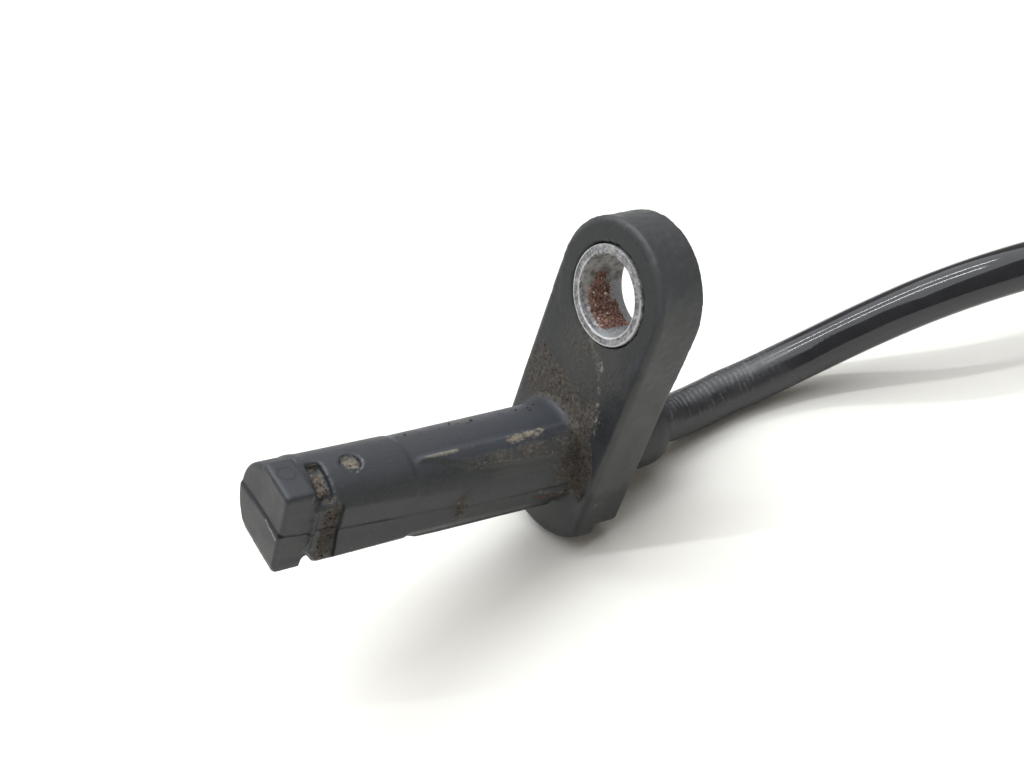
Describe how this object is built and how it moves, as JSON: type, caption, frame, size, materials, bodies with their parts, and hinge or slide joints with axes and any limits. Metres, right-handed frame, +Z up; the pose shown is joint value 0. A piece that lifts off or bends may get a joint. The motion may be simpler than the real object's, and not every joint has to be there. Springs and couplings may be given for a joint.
{
  "type": "abs wheel speed sensor",
  "caption": "Used wheel speed sensor: dark moulded head and bolt flange with a steel bushing, a moulded-in lead, its coil and a sealed connector.",
  "frame": {"origin": "middle of the sensor's own box, without its lead, on the surface that it lies on", "axes": "+Z up; +X along the head from its tip towards the lead, seen from above; the flat side of the head faces -Y"},
  "size_m": [0.1808, 0.066, 0.0357],
  "materials": {
    "housing_plastic": "charcoal moulded plastic, satin, scuffed and stained brown with road dirt",
    "bushing_steel": "zinc-plated steel gone dull grey, with rust clumps inside the bore",
    "carrier_plastic": "tan moulded plastic, matt",
    "chip_package": "black moulded chip package, matt",
    "magnet_metal": "nickel-grey block magnet",
    "tinned_copper": "tinned copper, dull bright",
    "capacitor_ceramic": "tan ceramic, matt",
    "core_insulation_a": "blue core insulation, satin",
    "core_insulation_b": "brown core insulation, satin",
    "cable_jacket": "black cable jacket, glossy, scuffed grey near the housing",
    "tie_plastic": "black tie, satin",
    "connector_plastic": "black moulded connector plastic, fine grain",
    "seal_rubber": "orange-brown silicone seal, matt",
    "lock_plastic": "grey moulded lock plate, matt"
  },
  "bodies": {
    "root": {"housing": "housing_plastic", "mounting_bushing": "bushing_steel", "element_carrier": "carrier_plastic", "sensing_chip": "chip_package", "bias_magnet": "magnet_metal", "chip_lead_a": "tinned_copper", "chip_lead_b": "tinned_copper", "filter_capacitor": "capacitor_ceramic", "splice_crimp_a": "tinned_copper", "splice_crimp_b": "tinned_copper", "core_wire_a": "core_insulation_a", "core_wire_b": "core_insulation_b", "cable": "cable_jacket", "cable_coil": "cable_jacket", "cable_tail": "cable_jacket", "coil_tie": "tie_plastic", "connector_housing": "connector_plastic", "connector_boot": "cable_jacket", "terminal_a": "tinned_copper", "terminal_b": "tinned_copper", "terminal_lock": "lock_plastic", "connector_seal": "seal_rubber"}
  },
  "joints": []
}
